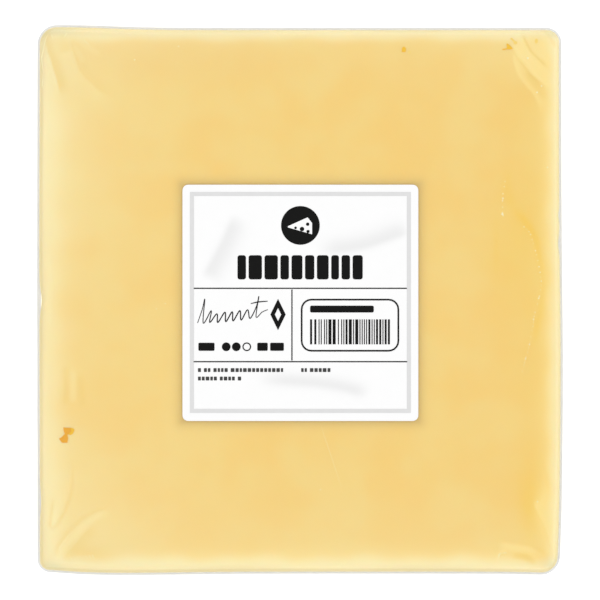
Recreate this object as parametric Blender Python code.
"""A square block of pale yellow cheese, vacuum packed in clear film, with a square label.

The pack lies on its back with the label up. +Z is up, +Y is towards the label's top edge,
and the origin is the middle of the underside. All lengths are in metres.
"""

import math

import bmesh
import bpy
from mathutils import Vector
from mathutils.geometry import intersect_point_line

MM = 0.001

# The pack, measured over the seal that runs round its sides
PACK_WIDTH = 130.8 * MM
PACK_LENGTH = 136.8 * MM
PACK_HEIGHT = 20 * MM

# The seal, where the upper and the lower film meet half way up the sides
SEAL_WIDTH = 0.6 * MM
SEAL_THICKNESS = 0.5 * MM
SEAL_HEIGHT = 9.5 * MM

# The block's upright corners, seen from above, by the signs of x and y
CORNER_RADII = {
    (-1, 1): 4.2 * MM,
    (1, 1): 3.2 * MM,
    (1, -1): 4.2 * MM,
    (-1, -1): 2.5 * MM,
}
CORNER_SEGMENTS = 5
TOP_EDGE_RADIUS = 2.2 * MM
TOP_EDGE_SEGMENTS = 4
BOTTOM_EDGE_RADIUS = 1.8 * MM
BOTTOM_EDGE_SEGMENTS = 3

# The upper face falls away gently towards its edges, where the film pulls it round
CROWN_DROP = 0.9 * MM
CROWN_REACH = 9 * MM
CROWN_FOOT = 2.5 * MM

# Each side is furthest out at one place and falls back from there
# (axis across the side, sign, place along the side, fall, reach)
SIDES = (
    (0, 1, -18 * MM, 0.4 * MM, 32 * MM),
    (0, -1, 10 * MM, 0.15 * MM, 45 * MM),
    (1, 1, -59 * MM, 0.7 * MM, 16 * MM),
    (1, -1, -43 * MM, 0.3 * MM, 20 * MM),
)
SIDE_DEPTH = 14 * MM

# The film pulls the two lower corners askew: (x, y, shift along x, shift along y, reach)
PULLED_CORNERS = (
    (-65.4 * MM, -68.4 * MM, 0, 0.6 * MM, 9 * MM),
    (65.4 * MM, -68.4 * MM, -0.42 * MM, -0.25 * MM, 12 * MM),
)

# Long shallow waves that pressing leaves on a cut face
WAVE_HEIGHT = 0.12 * MM
WAVE_LENGTH_X = 47 * MM
WAVE_LENGTH_Y = 61 * MM

# Folds of the film on the upper face: (height, half width, points along the fold)
FOLDS = (
    (-0.30 * MM, 1.8 * MM, ((-57.3, 64.1), (-54.2, 56.9), (-51.7, 52.9))),
    (-0.25 * MM, 1.9 * MM, ((-60.5, 63.0), (-60.6, 53.0))),
    (0.25 * MM, 1.6 * MM, ((-57.6, 56.0), (-55.0, 48.5))),
    (-0.35 * MM, 1.5 * MM, ((56.4, 66.0), (57.2, 62.9), (61.9, 57.3))),
    (-0.35 * MM, 1.5 * MM, ((53.7, 61.6), (56.8, 56.9), (60.3, 53.9))),
    (0.28 * MM, 1.4 * MM, ((55.8, 63.0), (59.3, 57.7))),
    (0.22 * MM, 1.6 * MM, ((53.3, 58.5), (56.8, 53.8), (59.6, 47.0))),
    (-0.30 * MM, 1.5 * MM, ((-61.9, -56.8), (-58.6, -52.9), (-55.5, -47.2), (-55.5, -42.7))),
    (0.25 * MM, 1.4 * MM, ((-61.4, -54.6), (-58.4, -51.4))),
    (-0.30 * MM, 1.5 * MM, ((-60.3, -62.9), (-57.4, -58.1), (-53.9, -54.6), (-48.2, -51.9))),
    (0.30 * MM, 1.5 * MM, ((-57.7, -60.6), (-54.0, -57.0), (-50.4, -54.2))),
    (-0.25 * MM, 1.8 * MM, ((57.0, -46.0), (56.5, -57.5))),
    (0.28 * MM, 1.5 * MM, ((51.1, -60.9), (59.6, -62.5))),
    (0.22 * MM, 1.5 * MM, ((58.6, -50.9), (61.6, -58.4))),
)

# Places of the cuts that give the faces their vertices, counted in from each edge
FIRST_CUT = 3.0 * MM
FINE_STEP = 2.0 * MM
FINE_REACH = 17 * MM
STEP_GROWTH = 1.4
WIDEST_STEP = 9.5 * MM

# The label, a square of paper stuck on the film
LABEL_WIDTH = 58.5 * MM
LABEL_LENGTH = 58.6 * MM
LABEL_THICKNESS = 0.3 * MM
LABEL_CORNER_RADIUS = 1.4 * MM
LABEL_CORNER_SEGMENTS = 4
LABEL_CENTRE = Vector((0.1 * MM, -0.7 * MM))
LABEL_CUTS = 7
GLUE_GAP = 0.3 * MM

CHEESE_YELLOW = (244, 211, 132)
LABEL_WHITE = (250, 250, 250)
SAME_PLACE = 0.001 * MM


def clear_scene():
    for thing in list(bpy.data.objects):
        bpy.data.objects.remove(thing, do_unlink=True)


def new_collection(name):
    collection = bpy.data.collections.new(name)
    bpy.context.scene.collection.children.link(collection)
    return collection


def linear(shade):
    """A display shade from 0 to 255 as the linear value that a shader takes."""
    share = shade / 255
    if share <= 0.04045:
        return share / 12.92
    return ((share + 0.055) / 1.055) ** 2.4


def principled(name, shades, roughness):
    material = bpy.data.materials.new(name)
    material.use_nodes = True
    shader = material.node_tree.nodes["Principled BSDF"]
    shader.inputs["Base Color"].default_value = (*map(linear, shades), 1)
    shader.inputs["Roughness"].default_value = roughness
    shader.inputs["Metallic"].default_value = 0
    return material


def smooth(share):
    """An even ramp from 0 to 1 with flat ends."""
    share = max(0.0, min(1.0, share))
    return share * share * (3 - 2 * share)


def box(width, length, low, high):
    """A bmesh box centred on the Z axis, from height low to height high."""
    bm = bmesh.new()
    bmesh.ops.create_cube(bm, size=1)
    bmesh.ops.scale(bm, vec=(width, length, high - low), verts=bm.verts)
    bmesh.ops.translate(bm, vec=(0, 0, (low + high) / 2), verts=bm.verts)
    return bm


def bevel(bm, edges, radius, segments):
    bmesh.ops.bevel(
        bm,
        geom=edges,
        affect="EDGES",
        offset=radius,
        segments=segments,
        profile=0.5,
        clamp_overlap=True,
        material=-1,
    )


def upright_edges(bm, signs):
    """The vertical edge in the quadrant with these signs of x and y."""
    found = []
    for edge in bm.edges:
        middle = (edge.verts[0].co + edge.verts[1].co) / 2
        upright = abs(edge.verts[0].co.z - edge.verts[1].co.z) > SAME_PLACE
        if upright and middle.x * signs[0] > 0 and middle.y * signs[1] > 0:
            found.append(edge)
    return found


def level_edges(bm, height):
    return [e for e in bm.edges if all(abs(v.co.z - height) < SAME_PLACE for v in e.verts)]


def cut(bm, place, normal):
    bmesh.ops.bisect_plane(
        bm,
        geom=bm.verts[:] + bm.edges[:] + bm.faces[:],
        dist=SAME_PLACE,
        plane_co=place,
        plane_no=normal,
    )


def cut_places(half):
    """Close together near both edges, then wider and wider towards the middle."""
    places = []
    inset = FIRST_CUT
    step = FINE_STEP
    while inset < half:
        places += [half - inset, inset - half]
        if inset > FINE_REACH:
            step = min(step * STEP_GROWTH, WIDEST_STEP)
        inset += step
    return sorted(places)


def fold_distance(point, chain):
    """The distance, seen from above, from a point to a chain of straight runs in millimetres."""
    nearest = math.inf
    for start, end in zip(chain, chain[1:]):
        start = Vector((*start, 0)) * MM
        end = Vector((*end, 0)) * MM
        foot, share = intersect_point_line(point, start, end)
        foot = start if share < 0 else end if share > 1 else foot
        nearest = min(nearest, (point - foot).length)
    return nearest


def fold_height(x, y):
    point = Vector((x, y, 0))
    height = 0.0
    for rise, half_width, chain in FOLDS:
        height += rise * math.exp(-((fold_distance(point, chain) / half_width) ** 2))
    return height


def crown_drop(x, y):
    across = 1 - smooth((PACK_WIDTH / 2 - SEAL_WIDTH - abs(x)) / CROWN_REACH)
    along = 1 - smooth((PACK_LENGTH / 2 - SEAL_WIDTH - abs(y)) / CROWN_REACH)
    return CROWN_DROP * (1 - (1 - across) * (1 - along))


def wave(x, y):
    turn = 2 * math.pi
    return WAVE_HEIGHT * math.sin(turn * x / WAVE_LENGTH_X + 0.6) * math.cos(turn * y / WAVE_LENGTH_Y)


def face_height(x, y):
    """How far the upper face stands above the plane at PACK_HEIGHT, or below it if negative."""
    return fold_height(x, y) + wave(x, y) - crown_drop(x, y) - WAVE_HEIGHT


def pull_sides(co):
    """Where a point of the straight-sided block goes once the film has drawn the sides in."""
    half = (PACK_WIDTH / 2, PACK_LENGTH / 2)
    moved = co.copy()
    for axis, sign, peak, fall, reach in SIDES:
        near = smooth(1 - (half[axis] - sign * co[axis]) / SIDE_DEPTH)
        away = (co[1 - axis] - peak) / reach
        moved[axis] -= sign * fall * (1 - math.exp(-away * away)) * near
    for corner_x, corner_y, shift_x, shift_y, reach in PULLED_CORNERS:
        away = math.hypot(co.x - corner_x, co.y - corner_y) / reach
        moved.x += shift_x * math.exp(-away * away)
        moved.y += shift_y * math.exp(-away * away)
    return moved


def shape_face(co):
    """Lowers or lifts a point of the upper face and of the rounded edge that joins it."""
    foot = PACK_HEIGHT - TOP_EDGE_RADIUS - CROWN_FOOT
    share = (co.z - foot) / (PACK_HEIGHT - foot)
    if share > 0:
        co.z += face_height(co.x, co.y) * min(1.0, share)


def add_seal(bm):
    """Draws a narrow band of the sides outwards, as the lip that the two films make."""
    low = SEAL_HEIGHT - SEAL_THICKNESS / 2
    high = SEAL_HEIGHT + SEAL_THICKNESS / 2
    for height in (low, high):
        cut(bm, (0, 0, height), (0, 0, 1))
    band = [f for f in bm.faces if low < f.calc_center_median().z < high and abs(f.normal.z) < 0.5]
    drawn = bmesh.ops.extrude_face_region(bm, geom=band)["geom"]
    bmesh.ops.delete(bm, geom=band, context="FACES")
    bm.normal_update()
    rim = [v for v in drawn if isinstance(v, bmesh.types.BMVert)]
    outward = {v: Vector((v.normal.x, v.normal.y, 0)).normalized() for v in rim}
    for v in rim:
        v.co += outward[v] * SEAL_WIDTH


def new_object(name, bm, material, collection, smooth_angle):
    mesh = bpy.data.meshes.new(name)
    bm.to_mesh(mesh)
    bm.free()
    mesh.materials.append(material)
    mesh.shade_smooth()
    mesh.set_sharp_from_angle(angle=math.radians(smooth_angle))
    thing = bpy.data.objects.new(name, mesh)
    collection.objects.link(thing)
    return thing


def make_pack(collection):
    """The block and the film on it as one solid, with an underside that is exactly flat."""
    width = PACK_WIDTH - 2 * SEAL_WIDTH
    length = PACK_LENGTH - 2 * SEAL_WIDTH
    bm = box(width, length, 0, PACK_HEIGHT)
    for signs, radius in CORNER_RADII.items():
        bevel(bm, upright_edges(bm, signs), radius, CORNER_SEGMENTS)
    bevel(bm, level_edges(bm, PACK_HEIGHT), TOP_EDGE_RADIUS, TOP_EDGE_SEGMENTS)
    bevel(bm, level_edges(bm, 0), BOTTOM_EDGE_RADIUS, BOTTOM_EDGE_SEGMENTS)
    for place in cut_places(width / 2):
        cut(bm, (place, 0, 0), (1, 0, 0))
    for place in cut_places(length / 2):
        cut(bm, (0, place, 0), (0, 1, 0))
    add_seal(bm)
    for v in bm.verts:
        v.co = pull_sides(v.co)
        shape_face(v.co)
    material = principled("cheese under film", CHEESE_YELLOW, 0.25)
    return new_object("vacuum_pack", bm, material, collection, 40)


def make_label(collection):
    """A thin square plate that follows the face of the pack, a hair above it."""
    bm = box(LABEL_WIDTH, LABEL_LENGTH, 0, LABEL_THICKNESS)
    for signs in CORNER_RADII:
        bevel(bm, upright_edges(bm, signs), LABEL_CORNER_RADIUS, LABEL_CORNER_SEGMENTS)
    for count in range(1, LABEL_CUTS + 1):
        share = count / (LABEL_CUTS + 1) - 0.5
        cut(bm, (share * LABEL_WIDTH, 0, 0), (1, 0, 0))
        cut(bm, (0, share * LABEL_LENGTH, 0), (0, 1, 0))
    bmesh.ops.translate(bm, vec=(*LABEL_CENTRE, PACK_HEIGHT + GLUE_GAP), verts=bm.verts)
    for v in bm.verts:
        v.co.z += face_height(v.co.x, v.co.y)
    material = principled("label paper", LABEL_WHITE, 0.4)
    return new_object("label", bm, material, collection, 40)


def main():
    clear_scene()
    collection = new_collection("vacuum_packed_cheese_block")
    make_pack(collection)
    make_label(collection)


main()
